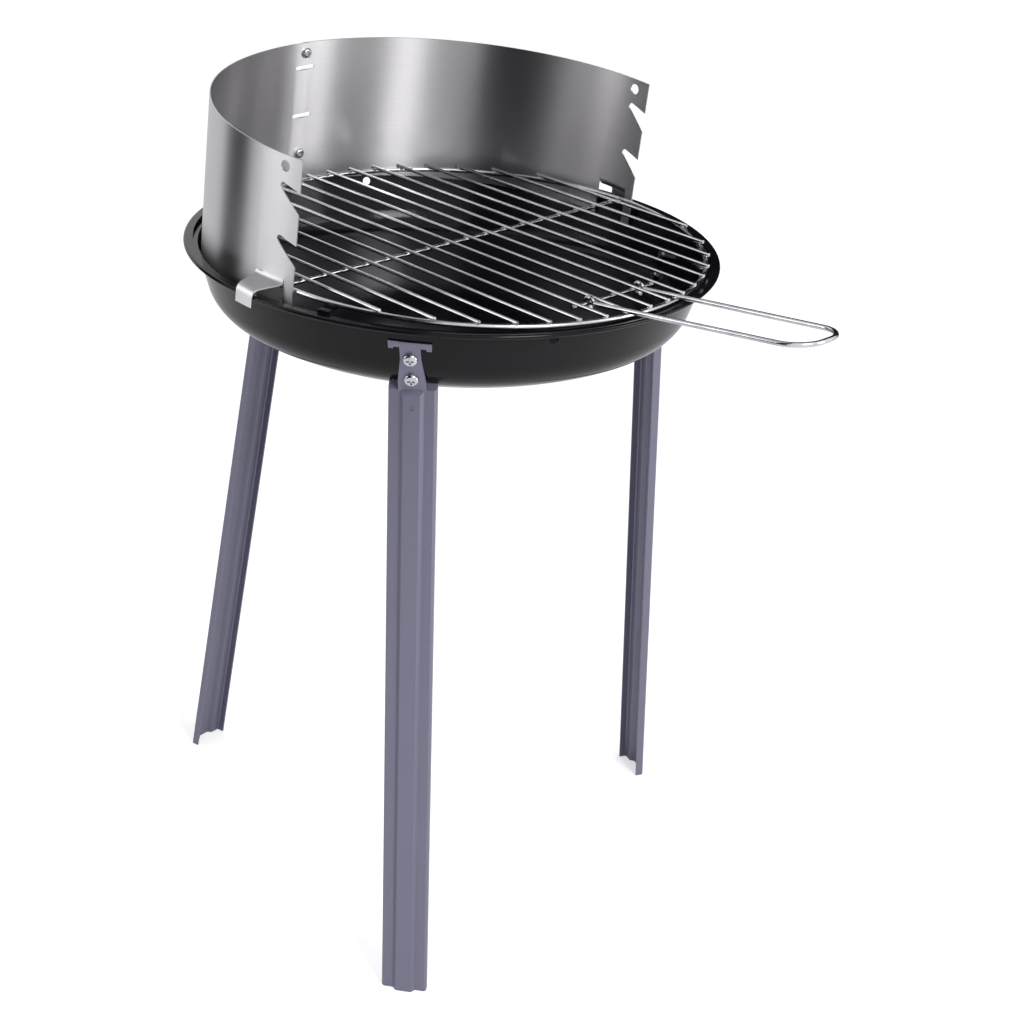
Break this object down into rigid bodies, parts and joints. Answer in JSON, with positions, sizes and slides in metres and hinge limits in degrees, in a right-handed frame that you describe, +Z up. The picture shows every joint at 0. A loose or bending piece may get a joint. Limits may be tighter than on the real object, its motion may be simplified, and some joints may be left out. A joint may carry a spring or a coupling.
{
  "type": "charcoal grill",
  "caption": "Round charcoal grill on splayed channel legs, with a half-round windshield and a lift-off wire grate with a folding loop handle.",
  "frame": {"origin": "on the floor, under the middle of the whole outline (the bowl's upright axis is at x = -9.6 mm, y = +55.0 mm)", "axes": "+Z up, +Y from the handle towards the middle of the windshield, +X to the right as seen from the handle"},
  "size_m": [0.4024, 0.5316, 0.5986],
  "materials": {
    "enamel": "gloss",
    "leg_finish": "satin",
    "windshield_steel": "brushed",
    "chrome_wire": "polished",
    "fastener": "polished"
  },
  "bodies": {
    "stand": {"bowl": "enamel", "leg_front": "leg_finish", "leg_right": "leg_finish", "leg_left": "leg_finish", "leg_screws_front": "fastener", "leg_screws_right": "fastener", "leg_screws_left": "fastener", "leg_nuts_front": "fastener", "leg_nuts_right": "fastener", "leg_nuts_left": "fastener", "grate_rest_left": "enamel", "grate_rest_right": "enamel"},
    "windshield": {"windshield_left": "windshield_steel", "windshield_right": "windshield_steel", "seam_screws": "fastener", "seam_nuts": "fastener"},
    "grate": {"grate_ring": "chrome_wire", "grate_bar_01": "chrome_wire", "grate_bar_02": "chrome_wire", "grate_bar_03": "chrome_wire", "grate_bar_04": "chrome_wire", "grate_bar_05": "chrome_wire", "grate_bar_06": "chrome_wire", "grate_bar_07": "chrome_wire", "grate_bar_08": "chrome_wire", "grate_bar_09": "chrome_wire", "grate_bar_10": "chrome_wire", "grate_bar_11": "chrome_wire", "grate_bar_12": "chrome_wire", "grate_bar_13": "chrome_wire", "grate_bar_14": "chrome_wire", "grate_bar_15": "chrome_wire", "grate_bar_16": "chrome_wire", "grate_bar_17": "chrome_wire", "long_cross_wire": "chrome_wire", "short_cross_wire": "chrome_wire"},
    "handle": {"handle": "chrome_wire"}
  },
  "joints": [
    {"name": "windshield_lift", "type": "slide", "parent": "stand", "child": "windshield", "axis": [0, -0.0663, 0.9978], "range_m": [0, 0.15]},
    {"name": "grate_lift", "type": "slide", "parent": "stand", "child": "grate", "axis": [0, -0.0663, 0.9978], "range_m": [0, 0.15]},
    {"name": "handle_fold", "type": "hinge", "parent": "grate", "child": "handle", "pos_m": [-0.00811, -0.09695, 0.49399], "axis": [-1, 0, 0], "range_deg": [0, 160]}
  ]
}
